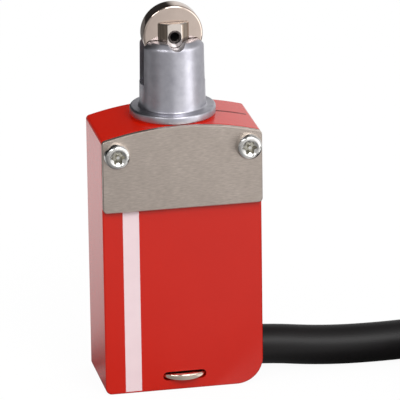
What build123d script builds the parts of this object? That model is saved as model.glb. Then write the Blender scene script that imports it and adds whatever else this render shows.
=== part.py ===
from build123d import *
import math
import os

os.makedirs("parts", exist_ok=True)

# Sizes are in millimetres. X runs across the front, Y from the front to the back and Z up.
# The origin is the centre of the body's foot.

# Die-cast body
body_width = 30.0
body_depth = 16.0
shoulder_height = 50.0
arch_rise = 2.1
side_wall = 2.0
face_wall = 1.7
cavity_top = 36.5
cavity_corner = 1.0
cable_corner_radius = 5.0
foot_radius = 1.2
shoulder_radius = 0.8
edge_radius = 0.35
parting_line_width = 0.2
parting_line_length = 4.6
parting_line_y = 0.5

# Fixing holes through the body
fixing_spacing = 20.0
fixing_height = 41.0
fixing_radius = 2.1
counterbore_radius = 3.8
counterbore_depth = 4.5

# Cover plate and its two screws
plate_foot = 36.2
plate_thickness = 1.0
plate_edge = 0.15
screw_inset = 2.65
screw_drop = 2.5
screw_head_radius = 2.45
screw_head_height = 1.9
screw_dome = 1.1
screw_shank_radius = 1.2
screw_reach = 5.0
screw_hole_clearance = 0.05
recess_radius = 1.05
recess_depth = 1.1
lobe_radius = 0.32
lobe_count = 6
recess_pin_radius = 0.4

# Turret head
flange_radius = 8.0
flange_thickness = 1.5
flange_edge = 0.6
flange_fillet = 0.8
seat_inset = 0.1
turret_foot_radius = 6.15
turret_top_radius = 6.0
turret_height = 13.05
turret_chamfer = 1.0
spigot_radius = 6.0
spigot_length = 8.6
socket_gap = 0.05
floor_gap = 0.1
neck_radius = 3.2

# Flat fork that holds the head in the body
fork_height = 46.0
fork_thickness = 1.0
fork_half_width = 7.0
fork_groove_radius = 5.2
fork_reach = 5.0
fork_front_gap = 0.4
fork_gap = 0.1

# Rubber rings
ring_wire_radius = 0.48
ring_groove_radius = 5.05
ring_groove_height = 1.4
ring_groove_drop = 2.5
wiper_wire_radius = 0.38
wiper_groove_radius = 4.35
wiper_groove_height = 1.2
wiper_groove_rise = 1.0

# Plunger, axle and roller
travel = 4.6
plunger_radius = 3.45
bore_gap = 0.05
roller_radius = 5.6
roller_thickness = 3.5
roller_edge = 0.5
roller_height = 67.5
axle_radius = 1.25
axle_hollow_radius = 0.7
axle_gap = 0.02
roller_bore_gap = 0.05
cheek_gap = 0.15
cheek_rise = 2.5
cheek_flat = 3.2
cheek_flat_drop = 4.5
cheek_edge = 0.2
clevis_floor_gap = 0.35
turret_slot_gap = 0.35
slot_end_gap = 0.2
notch_radius = 1.65
notch_drop = 1.2
collar_radius = 4.1
collar_height = 1.45
collar_gap = 0.2
stop_gap = 0.05
nose_radius = 1.8
nose_length = 10.2

# Return spring of the plunger and its seat
seat_thickness = 1.5
seat_hole_gap = 0.2
seat_edge_gap = 0.1
return_wire = 0.5
return_coil_radius = 3.1
return_turns = 4.0
spring_end_gap = 0.03

# Contact block
block_side_gap = 0.2
block_face_gap = 0.2
block_top_gap = 0.1
block_stand = 4.0
block_floor = 2.0
block_roof = 1.9
block_side = 2.3
block_cover = 1.2
block_back = 1.2
block_leg_width = 1.8
joint_gap = 0.05
slide_gap = 0.1

# Sliding contact carrier
push_gap = 0.3
stem_radius = 2.4
carrier_half_width = 1.8
carrier_half_depth = 4.6
carrier_height = 9.6
guide_radius = 1.3
guide_length = 8.6
carrier_wire = 0.4
carrier_coil_radius = 2.2
carrier_turns = 5.0

# Moving bridges and fixed contacts
pole_pitch = 3.2
bridge_width = 2.0
bridge_thickness = 0.6
bridge_drop = 4.9
bridge_strip_gap = 1.2
bridge_gap = 0.1
window_over = 0.3
window_depth = 2.9
contact_wire = 0.3
contact_coil_radius = 0.7
contact_turns = 3.0
wire_sides = 8
button_inset = 1.1
button_radius = 0.8
button_height = 0.5
contact_gap = 0.1
closed_gap = 0.05
strip_thickness = 0.6
strip_side_gap = 0.3
tab_reach = 1.1

# Connector that closes the foot of the body
connector_height = 11.0
connector_gap = 0.1
pin_radius = 0.6
pin_depth = 1.4
pin_fit = 0.02
strip_stand = 2.0
earth_pin_y = 4.2
gasket_drop = 1.35
gasket_height = 0.9
gasket_depth = 0.9
gasket_gap = 0.03

# Clip that holds the connector, in its slot at the foot of the front
clip_height = 2.8
clip_slot_length = 8.2
clip_slot_width = 1.7
clip_thickness = 1.2
clip_band = 1.5
clip_side_gap = 0.2
clip_bow = 1.4
clip_recess = 0.4
clip_reach = 5.0
clip_gap = 0.1

# Cable, with its exit in the right-hand side wall
cable_radius = 3.75
cable_height = 4.9
sleeve_gap = 0.15
sleeve_wall = 0.4
sleeve_foot = 8.0
sleeve_fit = 0.05
notch_gap = 0.1
cable_start = 6.5

# Put-away turns of the cable and its stripped end
coil_x = 86.5
coil_y = -41.0
coil_turn_radius = 41.0
coil_entry = 90.0
coil_lead = 5.0
tail_angle = 150.0
core_radius = 0.65
core_ring_radius = 1.9
core_count = 7
core_angle = 34.0
ferrule_radius = 0.8
ferrule_angle = 8.0

# Places that follow from the sizes above
half_width = body_width / 2
half_depth = body_depth / 2
crown = shoulder_height + arch_rise
arch_radius = (half_width**2 + arch_rise**2) / (2 * arch_rise)
cavity_half_width = half_width - side_wall
cavity_half_depth = half_depth - face_wall
front_face = Plane.XZ.offset(half_depth)
plate_front = Plane.XZ.offset(half_depth + plate_thickness)
screw_head_face = Plane.XZ.offset(half_depth + plate_thickness + screw_head_height)
screw_places = [(side * (half_width - screw_inset), shoulder_height - screw_drop) for side in (-1, 1)]
fixing_places = [(side * fixing_spacing / 2, fixing_height) for side in (-1, 1)]
spigot_foot = crown - spigot_length
socket_floor = spigot_foot - floor_gap
socket_radius = spigot_radius + socket_gap
flange_top = crown + flange_thickness
turret_top = flange_top + turret_height
bore_radius = plunger_radius + bore_gap
chamber_radius = collar_radius + collar_gap
collar_top = flange_top - stop_gap
collar_foot = collar_top - collar_height
nose_foot = collar_foot - nose_length
cheek_top = roller_height + cheek_rise
clevis_floor = roller_height - roller_radius - clevis_floor_gap
clevis_width = roller_thickness + 2 * cheek_gap
turret_slot_width = roller_thickness + 2 * turret_slot_gap
roller_side_drop = math.sqrt(roller_radius**2 - bore_radius**2)
turret_slot_floor = roller_height - travel - roller_side_drop - slot_end_gap
seat_foot = socket_floor
seat_top = seat_foot + seat_thickness
block_half_width = cavity_half_width - block_side_gap
block_half_depth = cavity_half_depth - block_face_gap
block_foot = connector_height + block_stand
block_top = cavity_top - block_top_gap
room_floor = block_foot + block_floor
room_top = block_top - block_roof
room_half_width = block_half_width - block_side
room_back = block_half_depth - block_back
cover_back = block_cover - block_half_depth
carrier_top = room_top - slide_gap
carrier_foot = carrier_top - carrier_height
stem_top = nose_foot - push_gap
guide_foot = carrier_foot - guide_length
strip_x = room_half_width - strip_side_gap - strip_thickness / 2
bridge_half_length = strip_x - strip_thickness / 2 - bridge_strip_gap
button_x = bridge_half_length - button_inset
tab_end = button_x - tab_reach
bridge_height = carrier_top - bridge_drop
bridge_top = bridge_height + bridge_thickness
window_foot = bridge_height - window_depth
nc_tab_foot = bridge_top + button_height + contact_gap + button_height
no_button_top = bridge_height - button_height - travel - closed_gap
no_tab_top = no_button_top - button_height
pole_places = [-pole_pitch, 0.0, pole_pitch]
pin_foot = connector_height - pin_depth
strip_foot = connector_height + strip_stand
gasket_foot = connector_height - gasket_drop
connector_half_width = cavity_half_width - connector_gap
connector_half_depth = cavity_half_depth - connector_gap
sleeve_bore = cable_radius + sleeve_gap
sleeve_radius = sleeve_bore + sleeve_wall
clip_half_width = clip_slot_length / 2 - clip_side_gap
floor_axis = cable_radius
outer_turn = coil_turn_radius + cable_radius
coil_axis = Axis((coil_x, coil_y, 0), (0, 0, -1))


def arched_face(low):
    """Adds the body's front outline, from the height low up to the arch, to the sketch."""
    with BuildLine() as edge:
        Polyline(
            (-half_width, shoulder_height),
            (-half_width, low),
            (half_width, low),
            (half_width, shoulder_height),
        )
        ThreePointArc((half_width, shoulder_height), (0, crown), (-half_width, shoulder_height))
    make_face(edge.edges())


def coil_section(degrees):
    """The upright plane through the coil's axis at that angle, facing the way the cable runs."""
    angle = math.radians(degrees)
    outwards = (math.cos(angle), math.sin(angle), 0)
    return Plane((coil_x, coil_y, 0), x_dir=outwards, z_dir=(math.sin(angle), -math.cos(angle), 0))


def wind_spring(foot, length, coil_radius, wire, turns, x=0.0, y=0.0):
    """Adds an open compression spring of many-sided wire, standing between two heights."""
    rise = length - wire
    with BuildLine() as wire_line:
        Helix(pitch=rise / turns, height=rise, radius=coil_radius, center=(x, y, foot + wire / 2))
    with BuildSketch(Plane(origin=wire_line.line @ 0, z_dir=wire_line.line % 0)) as wire_end:
        RegularPolygon(wire / 2, wire_sides)
    sweep(wire_end.sketch, path=wire_line.line, is_frenet=True)


# Housing: the arched box, open at the foot, with the head's socket in its top.
with BuildPart() as housing:
    with BuildSketch(front_face) as housing_outline:
        arched_face(0.0)
        fillet(housing_outline.vertices().group_by(Axis.Y)[-1], shoulder_radius)
        fillet(housing_outline.vertices().group_by(Axis.Y)[0].sort_by(Axis.X)[-1], cable_corner_radius)
        fillet(housing_outline.vertices().group_by(Axis.Y)[0].sort_by(Axis.X)[0], foot_radius)
    extrude(amount=-body_depth)
    fillet(housing.faces().sort_by(Axis.Y)[0].outer_wire().edges(), edge_radius)
    fillet(housing.faces().sort_by(Axis.Y)[-1].outer_wire().edges(), edge_radius)
    with BuildSketch(Plane.XY.offset(cavity_top)):
        Circle(flange_radius - seat_inset)
    extrude(amount=crown - cavity_top)
    with BuildSketch(Plane.XY):
        RectangleRounded(2 * cavity_half_width, 2 * cavity_half_depth, cavity_corner)
    extrude(amount=cavity_top, mode=Mode.SUBTRACT)
    with BuildSketch(Plane.XY.offset(cavity_top)):
        Circle(neck_radius)
    extrude(amount=socket_floor - cavity_top, mode=Mode.SUBTRACT)
    with BuildSketch(Plane.XY.offset(socket_floor)):
        Circle(socket_radius)
    extrude(amount=crown - socket_floor, mode=Mode.SUBTRACT)
    with Locations(front_face):
        with Locations(*fixing_places):
            CounterBoreHole(fixing_radius, counterbore_radius, counterbore_depth)
        with Locations(*screw_places):
            Hole(screw_shank_radius + screw_hole_clearance, depth=screw_reach + screw_hole_clearance)
    with BuildSketch(Plane.XY.offset(fork_height - fork_gap / 2)):
        with Locations((0, (fork_reach + fork_gap - half_depth) / 2)):
            Rectangle(2 * (fork_half_width + fork_gap), half_depth + fork_reach + fork_gap)
    extrude(amount=fork_thickness + fork_gap, mode=Mode.SUBTRACT)
    with BuildSketch(front_face):
        with Locations((0, clip_height)):
            SlotOverall(clip_slot_length, clip_slot_width)
    extrude(amount=-face_wall, mode=Mode.SUBTRACT)
    with BuildSketch(Plane.YZ.offset(cavity_half_width)):
        with Locations((0, cable_height)):
            Circle(sleeve_radius + notch_gap)
        with Locations((0, cable_height / 2)):
            Rectangle(2 * (sleeve_radius + notch_gap), cable_height)
    extrude(amount=side_wall, mode=Mode.SUBTRACT)
    with BuildSketch(Plane.XZ.offset(-parting_line_y)):
        with Locations((0, crown - arch_radius)):
            Circle(arch_radius + parting_line_width)
            Circle(arch_radius - parting_line_width, mode=Mode.SUBTRACT)
        with Locations((flange_radius + parting_line_length / 2, crown)):
            Rectangle(parting_line_length, 4 * arch_rise, mode=Mode.INTERSECT)
    extrude(amount=-parting_line_width, mode=Mode.SUBTRACT)
housing.part.label = "housing"
export_step(housing.part, "parts/housing.step")

# Tamper plate: stainless sheet over the head's fork and the fixing screws.
with BuildPart() as tamper_plate:
    with BuildSketch(front_face) as plate_outline:
        arched_face(plate_foot)
        fillet(plate_outline.vertices(), shoulder_radius)
    extrude(amount=plate_thickness)
    chamfer(tamper_plate.faces().sort_by(Axis.Y)[0].outer_wire().edges(), plate_edge)
    with Locations(plate_front):
        with Locations(*screw_places):
            Hole(screw_shank_radius + screw_hole_clearance)
tamper_plate.part.label = "tamper_plate"
export_step(tamper_plate.part, "parts/tamper_plate.step")

# Plate screws: domed heads with a lobed recess round a pin.
with BuildPart() as plate_screws:
    with BuildSketch(plate_front):
        with Locations(*screw_places):
            Circle(screw_head_radius)
    extrude(amount=screw_head_height)
    fillet(plate_screws.faces().group_by(Axis.Y)[0].edges(), screw_dome)
    with BuildSketch(plate_front):
        with Locations(*screw_places):
            Circle(screw_shank_radius)
    extrude(amount=-(plate_thickness + screw_reach))
    with BuildSketch(screw_head_face):
        with Locations(*screw_places):
            Circle(recess_radius)
            with PolarLocations(recess_radius, lobe_count):
                Circle(lobe_radius)
            Circle(recess_pin_radius, mode=Mode.SUBTRACT)
    extrude(amount=-recess_depth, mode=Mode.SUBTRACT)
plate_screws.part.label = "plate_screws"
export_step(plate_screws.part, "parts/plate_screws.step")

# Head housing: one turned and slotted casting, from its spigot up to the turret's rim.
with BuildPart() as head_housing:
    with BuildSketch(Plane.XZ) as head_profile:
        with BuildLine():
            ring_groove_top = crown - ring_groove_drop + ring_groove_height
            wiper_foot = flange_top + wiper_groove_rise
            Polyline(
                (chamber_radius, spigot_foot),
                (spigot_radius, spigot_foot),
                (spigot_radius, fork_height - fork_gap),
                (fork_groove_radius, fork_height - fork_gap),
                (fork_groove_radius, fork_height + fork_thickness + fork_gap),
                (spigot_radius, fork_height + fork_thickness + fork_gap),
                (spigot_radius, crown - ring_groove_drop),
                (ring_groove_radius, crown - ring_groove_drop),
                (ring_groove_radius, ring_groove_top),
                (spigot_radius, ring_groove_top),
                (spigot_radius, crown),
                (flange_radius, crown),
                (flange_radius, flange_top),
                (turret_foot_radius, flange_top),
                (turret_top_radius, turret_top - turret_chamfer),
                (turret_top_radius - turret_chamfer, turret_top),
                (bore_radius, turret_top),
                (bore_radius, wiper_foot + wiper_groove_height),
                (wiper_groove_radius, wiper_foot + wiper_groove_height),
                (wiper_groove_radius, wiper_foot),
                (bore_radius, wiper_foot),
                (bore_radius, flange_top),
                (chamber_radius, flange_top),
                close=True,
            )
        make_face()
        fillet(head_profile.vertices().sort_by_distance((flange_radius, flange_top))[0], flange_edge)
        fillet(head_profile.vertices().sort_by_distance((turret_foot_radius, flange_top))[0], flange_fillet)
    revolve(axis=Axis.Z)
    with BuildSketch(Plane.YZ):
        with Locations((0, (turret_slot_floor + cheek_top) / 2)):
            Rectangle(turret_slot_width, cheek_top - turret_slot_floor)
    extrude(amount=flange_radius, both=True, mode=Mode.SUBTRACT)
    with BuildSketch(Plane.XZ):
        with Locations((0, turret_top - notch_drop + notch_radius)):
            Circle(notch_radius)
    extrude(amount=flange_radius, both=True, mode=Mode.SUBTRACT)
head_housing.part.label = "head_housing"
export_step(head_housing.part, "parts/head_housing.step")

# Head fork: flat horseshoe pushed in from the front, round the groove of the head's spigot.
with BuildPart() as head_fork:
    with BuildSketch(Plane.XY.offset(fork_height)):
        with Locations((0, (fork_reach + fork_front_gap - half_depth) / 2)):
            Rectangle(2 * fork_half_width, half_depth + fork_reach - fork_front_gap)
        Circle(fork_groove_radius + joint_gap, mode=Mode.SUBTRACT)
        with Locations((0, fork_reach / 2)):
            Rectangle(2 * (fork_groove_radius + joint_gap), fork_reach, mode=Mode.SUBTRACT)
    extrude(amount=fork_thickness)
head_fork.part.label = "head_fork"
export_step(head_fork.part, "parts/head_fork.step")

# Head seal: O-ring in the groove below the flange.
with BuildPart() as head_seal:
    with BuildSketch(Plane.XZ):
        ring_radius = (ring_groove_radius + socket_radius) / 2
        with Locations((ring_radius, crown - ring_groove_drop + ring_groove_height / 2)):
            Circle(ring_wire_radius)
    revolve(axis=Axis.Z)
head_seal.part.label = "head_seal"
export_step(head_seal.part, "parts/head_seal.step")

# Plunger seal: O-ring that wipes the plunger.
with BuildPart() as plunger_seal:
    with BuildSketch(Plane.XZ):
        wiper_radius = wiper_groove_radius - joint_gap - wiper_wire_radius
        with Locations((wiper_radius, flange_top + wiper_groove_rise + wiper_groove_height / 2)):
            Circle(wiper_wire_radius)
    revolve(axis=Axis.Z)
plunger_seal.part.label = "plunger_seal"
export_step(plunger_seal.part, "parts/plunger_seal.step")

# Spring seat: washer on the floor of the body's socket, round the plunger's nose.
with BuildPart() as spring_seat:
    with BuildSketch(Plane.XY.offset(seat_foot)):
        Circle(chamber_radius - seat_edge_gap)
        Circle(nose_radius + seat_hole_gap, mode=Mode.SUBTRACT)
    extrude(amount=seat_thickness)
spring_seat.part.label = "spring_seat"
export_step(spring_seat.part, "parts/spring_seat.step")

# Plunger spring: between the seat and the plunger's collar.
with BuildPart() as plunger_spring:
    return_length = collar_foot - seat_top - 2 * spring_end_gap
    wind_spring(seat_top + spring_end_gap, return_length, return_coil_radius, return_wire, return_turns)
plunger_spring.part.label = "plunger_spring"
export_step(plunger_spring.part, "parts/plunger_spring.step")

# Plunger: nose, collar and shaft, slotted at the top into two cheeks with flats.
with BuildPart() as plunger:
    with BuildSketch(Plane.XY.offset(nose_foot)):
        Circle(nose_radius)
    extrude(amount=nose_length)
    with BuildSketch(Plane.XY.offset(collar_foot)):
        Circle(collar_radius)
    extrude(amount=collar_height)
    with BuildSketch(Plane.XY.offset(collar_top)):
        Circle(plunger_radius)
    extrude(amount=cheek_top - collar_top)
    chamfer(plunger.edges().group_by(Axis.Z)[-1], cheek_edge)
    with BuildSketch(Plane.YZ):
        with Locations((0, (clevis_floor + cheek_top) / 2)):
            Rectangle(clevis_width, cheek_top - clevis_floor)
        flat_depth = plunger_radius - cheek_flat
        flat_foot = roller_height - cheek_flat_drop
        flat_y = cheek_flat + flat_depth / 2
        with Locations(*[(side * flat_y, (flat_foot + cheek_top) / 2) for side in (-1, 1)]):
            Rectangle(flat_depth, cheek_top - flat_foot)
    extrude(amount=plunger_radius, both=True, mode=Mode.SUBTRACT)
    with BuildSketch(Plane.XZ):
        with Locations((0, roller_height)):
            Circle(axle_radius + axle_gap)
    extrude(amount=plunger_radius, both=True, mode=Mode.SUBTRACT)
plunger.part.label = "plunger"
export_step(plunger.part, "parts/plunger.step")

# Axle pin: hollow, flush with the flats of the cheeks.
with BuildPart() as axle_pin:
    with BuildSketch(Plane.XZ):
        with Locations((0, roller_height)):
            Circle(axle_radius)
            Circle(axle_hollow_radius, mode=Mode.SUBTRACT)
    extrude(amount=cheek_flat, both=True)
axle_pin.part.label = "axle_pin"
export_step(axle_pin.part, "parts/axle_pin.step")

# Roller: steel disc that turns on the axle pin.
with BuildPart() as roller:
    with BuildSketch(Plane.XZ):
        with Locations((0, roller_height)):
            Circle(roller_radius)
            Circle(axle_radius + roller_bore_gap, mode=Mode.SUBTRACT)
    extrude(amount=roller_thickness / 2, both=True)
    fillet(roller.edges().filter_by(GeomType.CIRCLE).group_by(SortBy.RADIUS)[-1], roller_edge)
roller.part.label = "roller"
export_step(roller.part, "parts/roller.step")

# Contact base: the back and sides of the block, open at the front, on two legs.
with BuildPart() as contact_base:
    base_front = cover_back + joint_gap
    base_depth = block_half_depth - base_front
    base_centre = (block_half_depth + base_front) / 2
    with BuildSketch(Plane.XY.offset(connector_height + joint_gap)):
        RectangleRounded(2 * block_half_width, 2 * block_half_depth, cavity_corner)
        with Locations((0, base_centre)):
            Rectangle(2 * block_half_width, base_depth, mode=Mode.INTERSECT)
    extrude(amount=block_top - connector_height - joint_gap)
    with BuildSketch(Plane.XY.offset(connector_height + joint_gap)):
        Rectangle(2 * (block_half_width - block_leg_width), 2 * block_half_depth)
    extrude(amount=block_foot - connector_height - joint_gap, mode=Mode.SUBTRACT)
    with BuildSketch(Plane.XY.offset(room_floor)):
        with Locations((0, (base_front + room_back) / 2)):
            Rectangle(2 * room_half_width, room_back - base_front)
    extrude(amount=room_top - room_floor, mode=Mode.SUBTRACT)
    with BuildSketch(Plane.XY.offset(room_top)):
        Circle(stem_radius + slide_gap)
    extrude(amount=block_roof, mode=Mode.SUBTRACT)
    with BuildSketch(Plane.XY.offset(block_foot)):
        Circle(guide_radius + slide_gap)
        with Locations(*[(side * strip_x, y) for side in (-1, 1) for y in pole_places]):
            Rectangle(strip_thickness + 2 * slide_gap, bridge_width + 2 * slide_gap)
    extrude(amount=block_floor, mode=Mode.SUBTRACT)
contact_base.part.label = "contact_base"
export_step(contact_base.part, "parts/contact_base.step")

# Contact cover: the block's front plate.
with BuildPart() as contact_cover:
    with BuildSketch(Plane.XY.offset(block_foot)):
        RectangleRounded(2 * block_half_width, 2 * block_half_depth, cavity_corner)
        with Locations((0, block_cover / 2 - block_half_depth)):
            Rectangle(2 * block_half_width, block_cover, mode=Mode.INTERSECT)
    extrude(amount=block_top - block_foot)
contact_cover.part.label = "contact_cover"
export_step(contact_cover.part, "parts/contact_cover.step")

# Contact carrier: the slider, with a stem under the plunger, three windows and a guide.
with BuildPart() as contact_carrier:
    with BuildSketch(Plane.XY.offset(carrier_foot)):
        Rectangle(2 * carrier_half_width, 2 * carrier_half_depth)
    extrude(amount=carrier_height)
    with BuildSketch(Plane.XY.offset(carrier_top)):
        Circle(stem_radius)
        Rectangle(2 * stem_radius, 2 * carrier_half_depth, mode=Mode.INTERSECT)
    extrude(amount=stem_top - carrier_top)
    with BuildSketch(Plane.XY.offset(guide_foot)):
        Circle(guide_radius)
    extrude(amount=guide_length)
    with BuildSketch(Plane.YZ):
        with Locations(*[(y, (window_foot + bridge_top + window_over) / 2) for y in pole_places]):
            Rectangle(bridge_width + 2 * bridge_gap, bridge_top + window_over - window_foot)
    extrude(amount=carrier_half_width, both=True, mode=Mode.SUBTRACT)
contact_carrier.part.label = "contact_carrier"
export_step(contact_carrier.part, "parts/contact_carrier.step")

# Contact bridges: three strips with a button above and below each end.
with BuildPart() as contact_bridges:
    with BuildSketch(Plane.XY.offset(bridge_height)):
        with Locations(*[(0, y) for y in pole_places]):
            Rectangle(2 * bridge_half_length, bridge_width)
    extrude(amount=bridge_thickness)
    with BuildSketch(Plane.XY.offset(bridge_height - button_height)):
        with Locations(*[(side * button_x, y) for side in (-1, 1) for y in pole_places]):
            Circle(button_radius)
    extrude(amount=bridge_thickness + 2 * button_height)
contact_bridges.part.label = "contact_bridges"
export_step(contact_bridges.part, "parts/contact_bridges.step")

# Contact springs: one in each window, under its bridge.
with BuildPart() as contact_springs:
    press_foot = window_foot + spring_end_gap
    press_length = window_depth - 2 * spring_end_gap
    for pole_y in pole_places:
        wind_spring(press_foot, press_length, contact_coil_radius, contact_wire, contact_turns, y=pole_y)
contact_springs.part.label = "contact_springs"
export_step(contact_springs.part, "parts/contact_springs.step")

# Carrier spring: round the guide, from the block's floor to the carrier.
with BuildPart() as carrier_spring:
    lift_length = carrier_foot - room_floor - 2 * spring_end_gap
    wind_spring(room_floor + spring_end_gap, lift_length, carrier_coil_radius, carrier_wire, carrier_turns)
carrier_spring.part.label = "carrier_spring"
export_step(carrier_spring.part, "parts/carrier_spring.step")


def bend_strips(tab_foot, button_foot, places):
    """Adds fixed contacts, each an upright strip, a tab towards the middle and a button."""
    tab_middle = (strip_x + strip_thickness / 2 + tab_end) / 2
    tab_length = strip_x + strip_thickness / 2 - tab_end
    with BuildSketch(Plane.XY.offset(strip_foot)) as strips:
        with Locations(*[(side * strip_x, y) for side in (-1, 1) for y in places]):
            Rectangle(strip_thickness, bridge_width)
    extrude(strips.sketch, amount=tab_foot - strip_foot)
    with BuildSketch(Plane.XY.offset(tab_foot)) as tabs:
        with Locations(*[(side * tab_middle, y) for side in (-1, 1) for y in places]):
            Rectangle(tab_length, bridge_width)
    extrude(tabs.sketch, amount=strip_thickness)
    with BuildSketch(Plane.XY.offset(button_foot)) as buttons:
        with Locations(*[(side * button_x, y) for side in (-1, 1) for y in places]):
            Circle(button_radius)
    extrude(buttons.sketch, amount=strip_thickness + button_height)


# Fixed contacts of the outer poles, closed at rest, above their bridges.
with BuildPart() as fixed_contacts_nc:
    bend_strips(nc_tab_foot, nc_tab_foot - button_height, [-pole_pitch, pole_pitch])
fixed_contacts_nc.part.label = "fixed_contacts_nc"
export_step(fixed_contacts_nc.part, "parts/fixed_contacts_nc.step")

# Fixed contacts of the middle pole, open at rest, below its bridge.
with BuildPart() as fixed_contacts_no:
    bend_strips(no_tab_top - strip_thickness, no_tab_top - strip_thickness, [0.0])
fixed_contacts_no.part.label = "fixed_contacts_no"
export_step(fixed_contacts_no.part, "parts/fixed_contacts_no.step")

# Connector body: the moulded plug in the body's foot, which follows its large corner.
with BuildPart() as connector_body:
    with BuildSketch(Plane.XZ) as connector_outline:
        with Locations(((half_width - connector_half_width) / 2, connector_height / 2)):
            Rectangle(half_width + connector_half_width, connector_height)
        corner = connector_outline.vertices().group_by(Axis.Y)[0].sort_by(Axis.X)[-1]
        fillet(corner, cable_corner_radius)
        with Locations(((half_width + connector_half_width) / 2, connector_height / 2)):
            Rectangle(half_width - connector_half_width, connector_height, mode=Mode.SUBTRACT)
    extrude(amount=connector_half_depth, both=True)
    fillet(connector_body.edges().filter_by(Axis.Z), cavity_corner)
    with BuildSketch(Plane.XY.offset(gasket_foot - gasket_gap)):
        Rectangle(2 * half_width, 2 * half_depth)
        RectangleRounded(
            2 * (connector_half_width - gasket_depth),
            2 * (connector_half_depth - gasket_depth),
            cavity_corner,
            mode=Mode.SUBTRACT,
        )
    extrude(amount=gasket_height + 2 * gasket_gap, mode=Mode.SUBTRACT)
    leg_slot = clip_band + 2 * clip_gap
    leg_middle = clip_half_width - clip_band / 2
    with BuildSketch(Plane.XY.offset(clip_height - clip_thickness / 2 - clip_gap)):
        with Locations(*[(side * leg_middle, (clip_reach + clip_gap - half_depth) / 2) for side in (-1, 1)]):
            Rectangle(leg_slot, half_depth + clip_reach + clip_gap)
        with Locations((0, (-half_depth - connector_half_depth + 2 * clip_band) / 2)):
            Rectangle(2 * (clip_half_width + clip_gap), half_depth - connector_half_depth + 2 * clip_band)
    extrude(amount=clip_thickness + 2 * clip_gap, mode=Mode.SUBTRACT)
    with BuildSketch(Plane.YZ.offset(sleeve_foot)):
        with Locations((0, cable_height)):
            Circle(sleeve_radius + sleeve_fit)
    extrude(amount=half_width - sleeve_foot, mode=Mode.SUBTRACT)
    with BuildSketch(Plane.YZ.offset(cable_start)):
        with Locations((0, cable_height)):
            Circle(cable_radius + sleeve_gap)
    extrude(amount=sleeve_foot - cable_start, mode=Mode.SUBTRACT)
    with BuildSketch(Plane.XY.offset(pin_foot)):
        with Locations((0, earth_pin_y), *[(side * strip_x, y) for side in (-1, 1) for y in pole_places]):
            Circle(pin_radius + pin_fit)
    extrude(amount=connector_height - pin_foot, mode=Mode.SUBTRACT)
connector_body.part.label = "connector_body"
export_step(connector_body.part, "parts/connector_body.step")

# Connector seal: flat rubber ring in the groove round the connector.
with BuildPart() as connector_seal:
    with BuildSketch(Plane.XY.offset(gasket_foot)):
        seal_half_width = cavity_half_width - gasket_gap
        seal_half_depth = cavity_half_depth - gasket_gap
        RectangleRounded(2 * seal_half_width, 2 * seal_half_depth, cavity_corner)
        RectangleRounded(
            2 * (connector_half_width - gasket_depth + gasket_gap),
            2 * (connector_half_depth - gasket_depth + gasket_gap),
            cavity_corner,
            mode=Mode.SUBTRACT,
        )
    extrude(amount=gasket_height)
connector_seal.part.label = "connector_seal"
export_step(connector_seal.part, "parts/connector_seal.step")

# Connector pins: six under the contact strips and one for the earth of the metal body.
with BuildPart() as connector_pins:
    with BuildSketch(Plane.XY.offset(pin_foot)):
        with Locations((0, earth_pin_y), *[(side * strip_x, y) for side in (-1, 1) for y in pole_places]):
            Circle(pin_radius)
    extrude(amount=strip_foot - closed_gap - pin_foot)
connector_pins.part.label = "connector_pins"
export_step(connector_pins.part, "parts/connector_pins.step")

# Connector fork: sprung clip whose bowed front shows in the slot.
with BuildPart() as connector_fork:
    clip_shoulder = half_depth - clip_recess
    inner_half_width = clip_half_width - clip_band
    with BuildSketch(Plane.XY.offset(clip_height - clip_thickness / 2)):
        with BuildLine():
            ThreePointArc(
                (-clip_half_width, -clip_shoulder),
                (0, -half_depth - clip_bow),
                (clip_half_width, -clip_shoulder),
            )
            Polyline(
                (clip_half_width, -clip_shoulder),
                (clip_half_width, clip_reach),
                (inner_half_width, clip_reach),
                (inner_half_width, -clip_shoulder + clip_recess),
            )
            ThreePointArc(
                (inner_half_width, -clip_shoulder + clip_recess),
                (0, -half_depth - clip_bow + clip_band),
                (-inner_half_width, -clip_shoulder + clip_recess),
            )
            Polyline(
                (-inner_half_width, -clip_shoulder + clip_recess),
                (-inner_half_width, clip_reach),
                (-clip_half_width, clip_reach),
                (-clip_half_width, -clip_shoulder),
            )
        make_face()
    extrude(amount=clip_thickness)
    fillet(connector_fork.edges().filter_by(Axis.Z).group_by(Axis.Y)[-1], clip_band / 3)
connector_fork.part.label = "connector_fork"
export_step(connector_fork.part, "parts/connector_fork.step")

# Cable sleeve: rubber tube round the cable, through the connector and the side wall.
with BuildPart() as cable_sleeve:
    with BuildSketch(Plane.YZ.offset(sleeve_foot)):
        with Locations((0, cable_height)):
            Circle(sleeve_radius)
            Circle(sleeve_bore, mode=Mode.SUBTRACT)
    extrude(amount=half_width - sleeve_foot)
cable_sleeve.part.label = "cable_sleeve"
export_step(cable_sleeve.part, "parts/cable_sleeve.step")

# Cable: from the connector, down to the floor and along it to the put-away turns.
route = [
    Vector(cable_start, 0, cable_height),
    Vector(16.0, 0, cable_height),
    Vector(28.0, -1.4, floor_axis),
    Vector(41.0, -2.0, floor_axis),
    Vector(54.0, -0.4, floor_axis),
    Vector(67.5, 2.9, floor_axis),
    Vector(coil_x - coil_lead, coil_y + outer_turn, floor_axis),
]
bend_radii = []
for before, here, after in zip(route, route[1:], route[2:]):
    half_turn = math.radians((here - before).get_angle(after - here) / 2)
    shorter_run = min((here - before).length, (after - here).length)
    bend_radii.append(0.45 * shorter_run / math.tan(half_turn))
print("bend radii of the cable in mm:", [round(radius, 1) for radius in bend_radii])

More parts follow.
